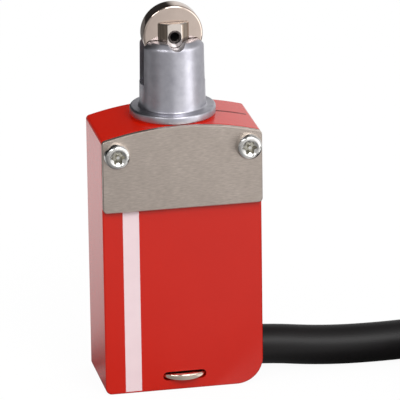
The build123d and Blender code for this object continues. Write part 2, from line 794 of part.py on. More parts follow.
with BuildPart() as cable:
    with BuildLine() as cable_path:
        FilletPolyline(*route, radius=bend_radii)
    with BuildSketch(Plane(origin=cable_path.line @ 0, z_dir=cable_path.line % 0)):
        Circle(cable_radius)
    sweep()
cable_length = sum(edge.length for edge in cable_path.edges())
tube_share = cable.part.volume / (math.pi * cable_radius**2 * cable_length)
print("tube volume over section times length:", round(tube_share, 4))
cable.part.label = "cable"
export_step(cable.part, "parts/cable.step")

# Cable coil: outer shape of four turns, two on two, with room for the stripped end on top.
with BuildPart() as cable_coil:
    cable_diameter = 2 * cable_radius
    with BuildSketch(coil_section(coil_entry)):
        with Locations((coil_turn_radius, cable_radius)):
            Rectangle(2 * cable_diameter, cable_diameter)
        with Locations((coil_turn_radius - cable_radius, 3 * cable_radius)):
            Rectangle(cable_diameter, cable_diameter)
    revolve(axis=coil_axis)
    with BuildSketch(coil_section(coil_entry)):
        with Locations((outer_turn, 3 * cable_radius)):
            Rectangle(cable_diameter, cable_diameter)
    revolve(axis=coil_axis, revolution_arc=360 - tail_angle)
cable_coil.part.label = "cable_coil"
export_step(cable_coil.part, "parts/cable_coil.step")

# Cable cores: the insulated cores past the end of the sheath, along the last turn.
with BuildPart() as cable_cores:
    with BuildSketch(coil_section(coil_entry + tail_angle)):
        with Locations((outer_turn, 3 * cable_radius)):
            Circle(core_radius)
            with PolarLocations(core_ring_radius, core_count - 1):
                Circle(core_radius)
    revolve(axis=coil_axis, revolution_arc=core_angle)
cable_cores.part.label = "cable_cores"
export_step(cable_cores.part, "parts/cable_cores.step")

# Core ferrules: crimped metal sleeves on the cores' ends.
with BuildPart() as core_ferrules:
    with BuildSketch(coil_section(coil_entry + tail_angle - core_angle)):
        with Locations((outer_turn, 3 * cable_radius)):
            Circle(ferrule_radius)
            with PolarLocations(core_ring_radius, core_count - 1):
                Circle(ferrule_radius)
    revolve(axis=coil_axis, revolution_arc=ferrule_angle)
core_ferrules.part.label = "core_ferrules"
export_step(core_ferrules.part, "parts/core_ferrules.step")
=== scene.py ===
import math

import bmesh
import bpy
from mathutils import Matrix, Quaternion, Vector


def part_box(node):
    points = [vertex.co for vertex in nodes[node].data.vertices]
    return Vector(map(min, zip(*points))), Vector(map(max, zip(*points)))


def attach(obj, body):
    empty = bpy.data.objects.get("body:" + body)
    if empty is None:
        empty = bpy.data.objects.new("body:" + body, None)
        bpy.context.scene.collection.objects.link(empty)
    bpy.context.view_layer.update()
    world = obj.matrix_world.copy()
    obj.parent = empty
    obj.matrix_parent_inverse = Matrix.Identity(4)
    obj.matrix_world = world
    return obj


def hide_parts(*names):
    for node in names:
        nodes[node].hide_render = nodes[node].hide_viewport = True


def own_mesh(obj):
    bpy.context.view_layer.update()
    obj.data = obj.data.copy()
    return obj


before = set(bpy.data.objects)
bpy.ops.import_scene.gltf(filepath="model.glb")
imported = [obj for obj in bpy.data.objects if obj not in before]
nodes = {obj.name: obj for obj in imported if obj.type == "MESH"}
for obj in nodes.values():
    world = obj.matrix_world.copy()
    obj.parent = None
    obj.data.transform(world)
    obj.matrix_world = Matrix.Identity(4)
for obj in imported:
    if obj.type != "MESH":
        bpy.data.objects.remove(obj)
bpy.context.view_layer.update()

MM = 0.001  # the pieces' sizes are written in millimetres, and meshes are in metres

# Camera: a long lens in front, a little to the left and above, as in the photograph.
# The picture is 400 pixels square, so the sensor's width is the frame's width.
# Its place is in metres.
view_azimuth = math.radians(-11.2)
view_elevation = math.radians(19.3)
view_roll = math.radians(-0.8)
view_distance = 0.9
view_target = Vector((0.00492, 0.0, 0.03434))
towards_camera = Vector((
    math.sin(view_azimuth) * math.cos(view_elevation),
    -math.cos(view_azimuth) * math.cos(view_elevation),
    math.sin(view_elevation),
))
lens = bpy.data.cameras.new("camera")
lens.sensor_width = 36.0
lens.lens = 434.0
lens.clip_start = 0.05
lens.clip_end = 50.0
camera = bpy.data.objects.new("camera", lens)
camera.location = view_target + towards_camera * view_distance
camera.rotation_mode = "QUATERNION"
camera.rotation_quaternion = (
    (-towards_camera).to_track_quat("-Z", "Y") @ Quaternion((0, 0, 1), view_roll)
)
bpy.context.scene.collection.objects.link(camera)
bpy.context.scene.camera = camera

# Cable: round, in a black PVC sheath, extruded over seven cores. It leaves the connector in
# the right-hand side wall, lies down on the table and goes into four put-away turns.


def srgb(code):
    """The linear colour of an sRGB hex code."""
    parts = [int(code[i:i + 2], 16) / 255 for i in (0, 2, 4)]
    linear = [p / 12.92 if p <= 0.04045 else ((p + 0.055) / 1.055) ** 2.4 for p in parts]
    return (*linear, 1.0)


def add_node(tree, kind, inputs=None, **settings):
    """Adds a node with its settings, each input set to a value or linked from a socket."""
    node = tree.nodes.new(kind)
    for name, value in settings.items():
        setattr(node, name, value)
    for name, value in (inputs or {}).items():
        if isinstance(value, bpy.types.NodeSocket):
            tree.links.new(value, node.inputs[name])
        else:
            node.inputs[name].default_value = value
    return node


def start_finish(name, **values):
    """A material with these values on its shader, its node tree, and the object's coordinates."""
    material = bpy.data.materials.new(name)
    material.use_nodes = True
    tree = material.node_tree
    shader = tree.nodes["Principled BSDF"]
    for socket, value in values.items():
        shader.inputs[socket.replace("_", " ")].default_value = value
    place = add_node(tree, "ShaderNodeTexCoord").outputs["Object"]
    return material, tree, shader, place


def feed(shader, **outputs):
    """Links sockets of the shader from these outputs of other nodes."""
    for socket, output in outputs.items():
        shader.id_data.links.new(output, shader.inputs[socket.replace("_", " ")])


def mottle(tree, place, per_mm, first, second, detail=3.0):
    """A noise of that many grains per millimetre, and the colour it mixes from one to the other."""
    noise = add_node(tree, "ShaderNodeTexNoise", {"Vector": place, "Scale": per_mm / MM, "Detail": detail})
    # A Mix node takes its two colours at inputs 6 and 7, and gives the mixed one at output 2.
    mix = add_node(
        tree, "ShaderNodeMix",
        {0: noise.outputs["Fac"], 6: srgb(first), 7: srgb(second)},
        data_type="RGBA",
    )
    return noise.outputs["Fac"], mix.outputs[2]


cable_radius = 3.75
lead_points = [
    (6.5, 0.0, 4.9),
    (16.0, 0.0, 4.9),
    (28.0, -1.4, 3.75),
    (41.0, -2.0, 3.75),
    (54.0, -0.4, 3.75),
    (67.5, 2.9, 3.75),
    (81.5, 3.75, 3.75),
]

# The turns are counted in degrees, from where the lead runs into the outer one on the table.
coil_centre, coil_start = (86.5, -41.0), 90
outer_turn, inner_turn = 44.75, 37.25
floor_turn, top_turn = 3.75, 11.25
half_step, last_half_step = 12, 9
tail_end = 3 * 360 + 210

# Near the end of each turn the cable crosses to its next place: inwards on the table, then up,
# then outwards on top. Going up, it tucks in by a few millimetres, clear of the turn below.
crossing = {252: 0.05, 276: 0.28, 300: 0.62, 324: 0.9, 348: 1.0}
tuck = {228: 1.0, 252: 2.4, 276: 4.0, 300: 4.0, 324: 2.8, 348: 1.2}


def coil_point(degrees, half):
    """A control point of the turns, so many degrees in, on the polygon that the turns touch."""
    turn, angle = divmod(degrees, 360)
    moved = crossing.get(angle, 0.0)
    radius, height = [
        (outer_turn + (inner_turn - outer_turn) * moved, floor_turn),
        (inner_turn - tuck.get(angle, 0.0), floor_turn + (top_turn - floor_turn) * moved),
        (inner_turn + (outer_turn - inner_turn) * moved, top_turn),
        (outer_turn, top_turn),
    ][turn]
    radius /= math.cos(math.radians(half))
    angle = math.radians(coil_start - degrees)
    return (
        coil_centre[0] + radius * math.cos(angle),
        coil_centre[1] + radius * math.sin(angle),
        height,
    )


coil_points = [
    coil_point(degrees, half_step) for degrees in range(half_step, tail_end - half_step, 2 * half_step)
]
coil_points += [coil_point(tail_end - last_half_step, last_half_step), coil_point(tail_end, 0)]

route = bpy.data.curves.new("cable_lead", "CURVE")
route.dimensions = "3D"
route.bevel_depth = cable_radius * MM
route.bevel_resolution = 8
route.use_fill_caps = True
spline = route.splines.new("NURBS")
points = lead_points + coil_points
spline.points.add(len(points) - 1)
for knot, point in zip(spline.points, points):
    knot.co = (*(Vector(point) * MM), 1.0)
spline.order_u = 3
spline.use_endpoint_u = True
spline.resolution_u = 8
cable_lead = bpy.data.objects.new("cable_lead", route)
bpy.context.scene.collection.objects.link(cable_lead)

# The extruded PVC has a soft sheen, a black that drifts a little, and fine matt grains. The
# real grains are under 0.1 mm, and these are about 0.3 mm, so that they show.
sheath, tree, shader, place = start_finish(
    "black_pvc_sheath", Roughness=0.46, IOR=1.42, Specular_IOR_Level=0.42
)
_, tint = mottle(tree, place, 0.35, "0A0809", "100D0E")
fine = add_node(tree, "ShaderNodeTexNoise", {"Vector": place, "Scale": 3.0 / MM, "Detail": 2.0})
bump = add_node(
    tree, "ShaderNodeBump", {"Height": fine.outputs["Fac"], "Strength": 0.5, "Distance": 0.03 * MM}
)
feed(shader, Base_Color=tint, Normal=bump.outputs["Normal"])
route.materials.append(sheath)
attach(cable_lead, "switch_body")
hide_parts("cable", "cable_coil")

# Stripped end: seven stranded cores in coloured PVC, six round one, with crimped ferrules.
# The insulation is smooth and a little glossy, and the tinned copper sleeves are bright.


def add_piece(name, shape, materials, body, slot, *stands_for):
    """Makes a mesh piece that rides on a body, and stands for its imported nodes."""
    mesh = bpy.data.meshes.new(name)
    shape.to_mesh(mesh)
    shape.free()
    for material in materials:
        mesh.materials.append(material)
    piece = bpy.data.objects.new(name, mesh)
    bpy.context.scene.collection.objects.link(piece)
    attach(piece, body)
    if stands_for:
        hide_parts(*stands_for)
    return piece


def smooth_by_angle(piece, degrees=32.0):
    """Shades a piece smooth, apart from its edges sharper than that."""
    piece.data.shade_smooth()
    piece.data.set_sharp_from_angle(angle=math.radians(degrees))


def lay_along_y(shape, corners, middle):
    """Turns corners that were made about z to lie about y, and brings them to a middle."""
    bmesh.ops.rotate(shape, cent=(0, 0, 0), matrix=Matrix.Rotation(math.pi / 2, 3, "X"), verts=corners)
    bmesh.ops.translate(shape, vec=middle * MM, verts=corners)


def mottled_finish(name, per_mm, first, second, detail=3.0, relief=None, **values):
    """A finish with a mottled colour, and with a relief of that strength and depth if it has one."""
    material, tree, shader, place = start_finish(name, **values)
    grain, tint = mottle(tree, place, per_mm, first, second, detail)
    feed(shader, Base_Color=tint)
    if relief:
        strength, depth = relief
        bump = add_node(
            tree, "ShaderNodeBump", {"Height": grain, "Strength": strength, "Distance": depth * MM}
        )
        feed(shader, Normal=bump.outputs["Normal"])
    return material


def dress(name, material):
    """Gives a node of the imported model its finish."""
    mesh = nodes[name].data
    mesh.materials.clear()
    mesh.materials.append(material)


core_codes = {
    "white": "DEDBD4", "brown": "5F3A22", "green": "2E6B3A", "yellow": "D9B92C",
    "grey": "85868A", "pink": "D490A0", "blue": "2C4F95",
}
insulations = []
for colour, code in core_codes.items():
    insulation, tree, shader, place = start_finish(f"{colour}_core_pvc", Base_Color=srgb(code), IOR=1.5)
    skin = add_node(tree, "ShaderNodeTexNoise", {"Vector": place, "Scale": 0.5 / MM, "Detail": 3.0})
    rough = add_node(
        tree, "ShaderNodeMapRange", {"Value": skin.outputs["Fac"], "To Min": 0.3, "To Max": 0.42}
    )
    feed(shader, Roughness=rough.outputs[0])
    insulations.append(insulation)

core_radius, core_ring, core_spacing, stripped_turn = 0.65, 1.9, 60, 34.0
coil_axis = Vector((*coil_centre, 0)) * MM
to_tail = Matrix.Rotation(math.radians(coil_start - tail_end), 3, "Z")
shape = bmesh.new()
for number in range(len(core_codes)):
    around = math.radians(core_spacing * number)
    away = core_ring if number else 0.0
    start = Vector((outer_turn + away * math.cos(around), 0, top_turn + away * math.sin(around)))
    ring = bmesh.ops.create_circle(shape, cap_ends=True, segments=20, radius=core_radius * MM)["verts"]
    lay_along_y(shape, ring, start)
    bmesh.ops.rotate(shape, cent=(0, 0, 0), matrix=to_tail, verts=ring)
    bmesh.ops.translate(shape, vec=coil_axis, verts=ring)
    disc = [face for face in shape.faces if set(face.verts) == set(ring)]
    older = set(shape.faces) - set(disc)
    bmesh.ops.spin(
        shape, geom=disc, cent=coil_axis, axis=(0, 0, 1), angle=-math.radians(stripped_turn), steps=16
    )
    for face in set(shape.faces) - older:
        face.material_index = number
bmesh.ops.recalc_face_normals(shape, faces=shape.faces)
core_wires = add_piece("core_wires", shape, insulations, "switch_body", "core_insulation", "cable_cores")
smooth_by_angle(core_wires, 40.0)
tinned = mottled_finish("tinned_copper", 1.5, "D2D0CC", "BDBBB8", Metallic=1.0, Roughness=0.28)
dress("core_ferrules", tinned)

# Body: zinc alloy die casting with red stoving enamel, sprayed and baked, glossy when wiped.
# The enamel has a fine orange peel of about 1 mm, and reflects pale surroundings at a slant.
# A dark line is painted along the mould's parting line, at the right of the arch, as painted shade in its
# groove.
parting_line, shade_line_half_width = 0.6, 0.42
shade_line_middle, shade_line_half_length, shade_line_foot = 11.0, 3.0, 49.5
enamel, tree, shader, place = start_finish("red_stoving_enamel", Roughness=0.2, IOR=1.45)
_, tint = mottle(tree, place, 0.12, "C21A05", "BB1704")
spots = add_node(tree, "ShaderNodeSeparateXYZ", {"Vector": place})
line = add_node(
    tree, "ShaderNodeMath",
    {0: spots.outputs["Y"], 1: parting_line * MM, 2: shade_line_half_width * MM},
    operation="COMPARE",
)
right = add_node(
    tree, "ShaderNodeMath",
    {0: spots.outputs["X"], 1: shade_line_middle * MM, 2: shade_line_half_length * MM},
    operation="COMPARE",
)
top = add_node(
    tree, "ShaderNodeMath", {0: spots.outputs["Z"], 1: shade_line_foot * MM}, operation="GREATER_THAN"
)
across = add_node(tree, "ShaderNodeMath", {0: line.outputs[0], 1: right.outputs[0]}, operation="MULTIPLY")
groove_shade = add_node(tree, "ShaderNodeMath", {0: across.outputs[0], 1: top.outputs[0]}, operation="MULTIPLY")
# Painted shade: the groove's dark red line is mixed into the enamel's colour.
mix = add_node(
    tree, "ShaderNodeMix", {0: groove_shade.outputs[0], 6: tint, 7: srgb("7A140C")}, data_type="RGBA"
)
peel = add_node(tree, "ShaderNodeTexNoise", {"Vector": place, "Scale": 0.9 / MM, "Detail": 2.0})
grit = add_node(tree, "ShaderNodeTexNoise", {"Vector": place, "Scale": 3.5 / MM, "Detail": 2.0})
relief = add_node(
    tree, "ShaderNodeMath",
    {0: grit.outputs["Fac"], 1: 0.25, 2: peel.outputs["Fac"]},
    operation="MULTIPLY_ADD",
)
bump = add_node(
    tree, "ShaderNodeBump", {"Height": relief.outputs[0], "Strength": 0.6, "Distance": 0.02 * MM}
)

# The painted shade line takes away most of the enamel's gloss.
shine = add_node(tree, "ShaderNodeMath", {0: groove_shade.outputs[0], 1: -0.4, 2: 0.5}, operation="MULTIPLY_ADD")
feed(
    shader, Base_Color=mix.outputs[2], Specular_IOR_Level=shine.outputs[0], Normal=bump.outputs["Normal"]
)
dress("housing", enamel)

# White band: pad printed on the enamel's front and left blank, a few hundredths of a
# millimetre thick. The ink is matt and a little pink where the red shines through.


def make_block(size, middle):
    """A box of that size about its middle."""
    shape = bmesh.new()
    bmesh.ops.create_cube(shape, size=1.0)
    bmesh.ops.scale(shape, vec=Vector(size) * MM, verts=shape.verts)
    bmesh.ops.translate(shape, vec=Vector(middle) * MM, verts=shape.verts)
    return shape


body_front = -8.0
band_left, band_right = -11.25, -8.2
band_foot, band_top = 0.4, 36.15
band_thickness = 0.03
ink = mottled_finish("white_pad_print", 0.4, "E8D2D5", "E1C9CD", Roughness=0.5, IOR=1.5)
shape = make_block(
    (band_right - band_left, band_thickness, band_top - band_foot),
    ((band_left + band_right) / 2, body_front - band_thickness / 2, (band_foot + band_top) / 2),
)
add_piece("printed_band", shape, [ink], "switch_body", "red_enamel")

# Tamper plate: 1 mm stainless sheet, blanked to the arch and brushed along its length.
# The brushing spreads each reflection. Its real lines are about 0.05 mm apart, and these
# are about 0.2 mm, as coarse as they need to be to show.
brush_slant = math.radians(-4)
lines_per_mm, line_ends_per_mm = 5.5, 0.9
stainless, tree, shader, place = start_finish("brushed_stainless", Metallic=1.0, Anisotropic=0.4)
lines = add_node(
    tree, "ShaderNodeMapping",
    {
        "Vector": place, "Rotation": (0.0, brush_slant, 0.0),
        "Scale": (line_ends_per_mm / MM, line_ends_per_mm / MM, lines_per_mm / MM),
    },
)
brushing = add_node(tree, "ShaderNodeTexNoise", {"Vector": lines.outputs[0], "Scale": 1.0, "Detail": 4.0})
_, tint = mottle(tree, place, 0.3, "DCCFC5", "BDB1A8", detail=6.0)
stroke = add_node(
    tree, "ShaderNodeMapRange", {"Value": brushing.outputs["Fac"], "From Min": 0.22, "From Max": 0.78}
)
mix = add_node(
    tree, "ShaderNodeMix", {0: stroke.outputs[0], 6: tint, 7: srgb("AFA39A")}, data_type="RGBA"
)
rough = add_node(
    tree, "ShaderNodeMapRange", {"Value": brushing.outputs["Fac"], "To Min": 0.3, "To Max": 0.52}
)
bump = add_node(
    tree, "ShaderNodeBump", {"Height": brushing.outputs["Fac"], "Strength": 0.5, "Distance": 0.01 * MM}
)
feed(shader, Base_Color=mix.outputs[2], Roughness=rough.outputs[0], Normal=bump.outputs["Normal"])
dress("tamper_plate", stainless)

# Plate screws: pan-head steel screws, cold headed with a flat rim, and a lobed recess round a pin. The zinc
# plating is bright passivated, so they shine, and the recess is painted darker, as painted shade.
touching = 0.001  # corners as near as this are one
slack = 0.02  # faces are picked by their middles, with this much to spare


def turn_outline(outline, centre, axis, steps):
    """Turns a closed outline, of radius, place along the axis and corner rounding, about it."""
    shape = bmesh.new()
    corners = [
        shape.verts.new((centre + Vector((radius, 0, 0)) + axis * along) * MM)
        for radius, along, rounding in outline
    ]
    shape.faces.new(corners)
    for corner, (radius, along, rounding) in zip(corners, outline):
        if rounding:
            bmesh.ops.bevel(
                shape, geom=[corner], offset=rounding * MM, offset_type="OFFSET", segments=5,
                profile=0.5, affect="VERTICES", material=-1,
            )
    bmesh.ops.delete(shape, geom=shape.faces[:], context="FACES_ONLY")
    for edge in shape.edges[:]:
        off_axis = [(corner.co - centre * MM).cross(axis).length for corner in edge.verts]
        if max(off_axis) < touching * MM:
            shape.edges.remove(edge)
    bmesh.ops.spin(
        shape, geom=shape.verts[:] + shape.edges[:], cent=centre * MM, axis=axis,
        angle=math.tau, steps=steps, use_merge=True,
    )
    bmesh.ops.remove_doubles(shape, verts=shape.verts, dist=touching * MM)
    bmesh.ops.recalc_face_normals(shape, faces=shape.faces)
    return shape


def cut_with(piece, shape):
    """Cuts the space that a bmesh takes up out of a piece."""
    mesh = bpy.data.meshes.new("cutter")
    shape.to_mesh(mesh)
    shape.free()
    cutter = bpy.data.objects.new("cutter", mesh)
    bpy.context.scene.collection.objects.link(cutter)
    cut = piece.modifiers.new("cut", "BOOLEAN")
    cut.operation = "DIFFERENCE"
    cut.solver = "EXACT"
    cut.object = cutter
    whole = piece.data
    depsgraph = bpy.context.evaluated_depsgraph_get()
    piece.data = bpy.data.meshes.new_from_object(piece.evaluated_get(depsgraph))
    piece.modifiers.clear()
    piece.data.name = whole.name
    bpy.data.meshes.remove(whole)
    bpy.data.objects.remove(cutter)
    shape = bmesh.new()
    shape.from_mesh(piece.data)
    bmesh.ops.remove_doubles(shape, verts=shape.verts, dist=2 * touching * MM)
    bmesh.ops.dissolve_degenerate(shape, dist=2 * touching * MM, edges=shape.edges)
    shape.to_mesh(piece.data)
    shape.free()


zinc = mottled_finish(
    "zinc_plated_steel", 2.5, "E4E2DF", "CFCDCA", relief=(0.2, 0.01), Metallic=1.0, Roughness=0.2
)
recess_shade = mottled_finish("recess_shade_zinc", 1.0, "E6E2D4", "3A372E", detail=1.0, Metallic=1.0, Roughness=0.16)
screw_reach, screw_height = 12.35, 47.5
seat, head_face, screw_end = -9.0, -10.9, -4.0
shank_radius, tip_radius, tip_chamfer = 1.2, 0.6, 0.6
screw_head_radius, rim_height, dome_radius = 2.45, 0.35, 2.3
sink_rim_radius, sink_floor_radius = 1.55, 1.0
sink_depth, recess_depth = 0.4, 1.2
sink_floor, recess_floor = head_face + sink_depth, head_face + recess_depth
screw_outline = [
    (tip_radius, screw_end, 0), (shank_radius, screw_end - tip_chamfer, 0), (shank_radius, seat, 0),
    (screw_head_radius, seat, 0), (screw_head_radius, seat - rim_height, 0.1),
    (dome_radius, head_face, 0.7), (sink_rim_radius, head_face, 0.05),
    (sink_floor_radius, sink_floor, 0), (0, sink_floor, 0), (0, screw_end, 0),
]
lobe_count, recess_radius, lobe_depth = 6, 1.1, 0.24
recess_pin_radius, recess_pin_taper, recess_pin_root = 0.42, 0.7, 0.1
recess_pin_end = recess_floor + recess_pin_root
for number, x in enumerate((-screw_reach, screw_reach), start=1):
    centre = Vector((x, 0, screw_height))
    screw = add_piece(
        f"plate_screw_{number}", turn_outline(screw_outline, centre, Vector((0, 1, 0)), steps=72),
        [zinc, recess_shade], "switch_body", "zinc_plated_steel", "plate_screws",
    )
    shape = bmesh.new()
    bmesh.ops.create_cone(
        shape, cap_ends=True, segments=72, radius1=recess_radius * MM, radius2=recess_radius * MM,
        depth=2 * recess_depth * MM,
    )
    for corner in shape.verts:
        swell = 1 + lobe_depth / recess_radius * math.cos(lobe_count * math.atan2(corner.co.y, corner.co.x))
        corner.co.x *= swell
        corner.co.y *= swell
    lay_along_y(shape, shape.verts, centre + Vector((0, head_face, 0)))
    cut_with(screw, shape)
    # The recess's faces take the darker zinc, as painted shade.
    for face in screw.data.polygons:
        middle = face.center / MM - centre
        inside = Vector((middle.x, 0, middle.z)).length < recess_radius + lobe_depth
        if inside and sink_floor - slack < middle.y < seat:
            face.material_index = 1
    shape = bmesh.new()
    shape.from_mesh(screw.data)
    recess_pin = bmesh.ops.create_cone(
        shape, cap_ends=True, segments=32, radius1=recess_pin_radius * MM,
        radius2=recess_pin_taper * recess_pin_radius * MM, depth=(recess_pin_end - sink_floor) * MM,
    )["verts"]
    lay_along_y(shape, recess_pin, centre + Vector((0, (sink_floor + recess_pin_end) / 2, 0)))
    shape.to_mesh(screw.data)
    shape.free()
    smooth_by_angle(screw)

# Head housing: zinc alloy, cast, turned on its outside and tumbled to a satin grey. The turning
# marks run round it, and so they draw each reflection out up and down. The real ones are about
# 0.1 mm apart, and these are about 0.3 mm, so that they show.
marks_per_mm, mark_ends_per_mm = 3.5, 0.15
cast_zinc, tree, shader, place = start_finish(
    "turned_cast_zinc", Metallic=1.0, Anisotropic=0.55, Anisotropic_Rotation=0.25
)
rings = add_node(
    tree, "ShaderNodeMapping",
    {"Vector": place, "Scale": (mark_ends_per_mm / MM, mark_ends_per_mm / MM, marks_per_mm / MM)},
)
turning = add_node(tree, "ShaderNodeTexNoise", {"Vector": rings.outputs[0], "Scale": 1.0, "Detail": 3.0})
grain, tint = mottle(tree, place, 0.6, "D3D2D9", "A09FA9", detail=6.0)
rough = add_node(tree, "ShaderNodeMapRange", {"Value": grain, "To Min": 0.32, "To Max": 0.42})
bump = add_node(
    tree, "ShaderNodeBump", {"Height": turning.outputs["Fac"], "Strength": 0.35, "Distance": 0.015 * MM}
)
around = add_node(tree, "ShaderNodeTangent", direction_type="RADIAL", axis="Z")
feed(
    shader, Base_Color=tint, Roughness=rough.outputs[0], Normal=bump.outputs["Normal"],
    Tangent=around.outputs[0],
)

spigot_radius, spigot_foot = 6.0, 43.5
fork_groove_radius, fork_foot, fork_top = 5.2, 45.9, 47.1
ring_groove_radius, ring_foot, ring_top = 5.05, 49.6, 51.0
flange_radius, flange_foot, flange_top = 8.0, 52.1, 53.6
turret_foot_radius, turret_tip_radius = 6.15, 6.0
turret_top, turret_chamfer = 66.65, 1.0
head_bore_radius, spring_room_radius = 3.5, 4.3
wiper_groove_radius, wiper_foot, wiper_top = 4.35, 54.6, 55.8
head_outline = [
    # The spigot, with a groove for the fork and one for the ring.
    (spring_room_radius, spigot_foot, 0.1), (spigot_radius, spigot_foot, 0.2),
    (spigot_radius, fork_foot, 0), (fork_groove_radius, fork_foot, 0),
    (fork_groove_radius, fork_top, 0), (spigot_radius, fork_top, 0),
    (spigot_radius, ring_foot, 0), (ring_groove_radius, ring_foot, 0),
    (ring_groove_radius, ring_top, 0), (spigot_radius, ring_top, 0),
    # The flange, and the turret with its chamfered top.
    (spigot_radius, flange_foot, 0), (flange_radius, flange_foot, 0.2),
    (flange_radius, flange_top, 0.4), (turret_foot_radius, flange_top, 0.35),
    (turret_tip_radius, turret_top - turret_chamfer, 0.35),
    (turret_tip_radius - turret_chamfer, turret_top, 0.25),
    # The bore, with the wiper ring's groove, and the wider room for the spring.
    (head_bore_radius, turret_top, 0.15), (head_bore_radius, wiper_top, 0),
    (wiper_groove_radius, wiper_top, 0), (wiper_groove_radius, wiper_foot, 0),
    (head_bore_radius, wiper_foot, 0), (head_bore_radius, flange_top, 0),
    (spring_room_radius, flange_top, 0),
]
slot_width, slot_foot = 4.2, 58.2
notch_radius, notch_height = 1.65, 67.1
cutter_reach = 20.0
turret = add_piece(
    "head_casting", turn_outline(head_outline, Vector((0, 0, 0)), Vector((0, 0, 1)), steps=128),
    [cast_zinc], "switch_body", "cast_head", "head_housing",
)
slot = make_block((cutter_reach, slot_width, cutter_reach), (0, 0, slot_foot + cutter_reach / 2))
cut_with(turret, slot)
notch = bmesh.new()
bmesh.ops.create_cone(
    notch, cap_ends=True, segments=48, radius1=notch_radius * MM, radius2=notch_radius * MM,
    depth=cutter_reach * MM,
)
lay_along_y(notch, notch.verts, Vector((0, 0, notch_height)))
cut_with(turret, notch)
smooth_by_angle(turret, 20.0)

# Spring seat and plunger: steel, turned, milled, hardened and ground.
# The ground faces shine, with a slight haze.
ground = mottled_finish(
    "ground_steel", 1.2, "EADFD6", "DACEC4", relief=(0.15, 0.01), Metallic=1.0, Roughness=0.2
)
dress("spring_seat", ground)

# The plunger's flats are ground bright, and its round is left brown from the hardening. The round's colour
# is also painted in light and dark streaks of about half a millimetre along it, as painted reflections.
round_from, flat_at = 3.4, 3.17
hardened, tree, shader, place = start_finish("hardened_steel", Metallic=1.0, Roughness=0.13)
_, bright = mottle(tree, place, 1.2, "F0E6DE", "E2D7CE")
painted_reflection_streaks = add_node(tree, "ShaderNodeMapping", {"Vector": place, "Scale": (2.5, 2.5, 0.15)})
# The brown is partly real heat tint and partly painted reflection, in light and dark streaks.
_, brown = mottle(tree, painted_reflection_streaks.outputs[0], 1.0, "C4B2A2", "322A25", detail=1.0)
sides = add_node(tree, "ShaderNodeSeparateXYZ", {"Vector": place})
flat = add_node(tree, "ShaderNodeCombineXYZ", {"X": sides.outputs["X"], "Y": sides.outputs["Y"]})
radius = add_node(tree, "ShaderNodeVectorMath", {0: flat.outputs[0]}, operation="LENGTH")
outside = add_node(
    tree, "ShaderNodeMath", {0: radius.outputs["Value"], 1: round_from * MM}, operation="GREATER_THAN"
)
depth = add_node(tree, "ShaderNodeMath", {0: sides.outputs["Y"]}, operation="ABSOLUTE")
between = add_node(
    tree, "ShaderNodeMath", {0: depth.outputs[0], 1: flat_at * MM}, operation="LESS_THAN"
)
turned = add_node(
    tree, "ShaderNodeMath", {0: outside.outputs[0], 1: between.outputs[0]}, operation="MULTIPLY"
)
mix = add_node(
    tree, "ShaderNodeMix", {0: turned.outputs[0], 6: bright, 7: brown}, data_type="RGBA"
)
feed(shader, Base_Color=mix.outputs[2])
dress("plunger", hardened)

# Axle pin: hollow steel pin, countersunk at both ends and burnished nearly black.
# Its bore is deep, and is painted black and dull, as painted shade.
burnished = mottled_finish("burnished_steel", 2.0, "6A6260", "3A3534", Metallic=1.0, Roughness=0.25)
bore_shade = mottled_finish("painted_bore_shade", 2.0, "0C0B0B", "141211", Roughness=0.5)
roller_centre = Vector((0, 0, 67.5))
pin_axis = Vector((0, 1, 0))
bore_radius, pin_radius, pin_end = 0.7, 1.25, 3.2
pin_sink_radius, pin_sink_depth = 0.9, 0.3
pin_outline = [
    (bore_radius, -pin_end + pin_sink_depth, 0), (pin_sink_radius, -pin_end, 0.05),
    (pin_radius, -pin_end, 0.2), (pin_radius, pin_end, 0.2),
    (pin_sink_radius, pin_end, 0.05), (bore_radius, pin_end - pin_sink_depth, 0),
]
shape = turn_outline(pin_outline, roller_centre, pin_axis, steps=48)
# The bore's faces take the black, as painted shade.
for face in shape.faces:
    middle = face.calc_center_median() / MM - roller_centre
    face.material_index = 1 if middle.cross(pin_axis).length < bore_radius + slack else 0
pin = add_piece("hollow_pin", shape, [burnished, bore_shade], "plunger", "plunger_steel", "axle_pin")
smooth_by_angle(pin)

# Roller: hardened bearing steel, turned, ground and polished, with a well rounded edge.
# The faces are warm and bright, and the rim is a clear mirror.
roller_steel = mottled_finish(
    "polished_roller_steel", 0.6, "D6C5BA", "C9B8AD", Metallic=1.0, Roughness=0.12
)
roller_radius, roller_half, roller_edge = 5.6, 1.75, 0.45
roller_bore, roller_chamfer = 1.3, 0.15
roller_outline = [
    (roller_bore, -roller_half + roller_chamfer, 0), (roller_bore + roller_chamfer, -roller_half, 0),
    (roller_radius, -roller_half, roller_edge), (roller_radius, roller_half, roller_edge),
    (roller_bore + roller_chamfer, roller_half, 0), (roller_bore, roller_half - roller_chamfer, 0),
]
wheel = add_piece(
    "roller_wheel", turn_outline(roller_outline, roller_centre, pin_axis, steps=128),
    [roller_steel], "roller", "roller_steel", "roller",
)
smooth_by_angle(wheel)

# Springs and the head's fork: cold drawn stainless spring wire, coiled, and strip bent to a horseshoe. The
# wire is bright. The two return springs each get a mesh of their own.
spring_steel = mottled_finish("spring_steel", 1.5, "D8D4CF", "BFBBB6", Metallic=1.0, Roughness=0.2)
for name in ("head_fork", "plunger_spring", "contact_springs", "carrier_spring"):
    dress(name, spring_steel)

for name, joint in (("plunger_spring", "plunger_slide"), ("carrier_spring", "carrier_slide")):
    foot, top = (corner[2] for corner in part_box(name))
    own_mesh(nodes[name])

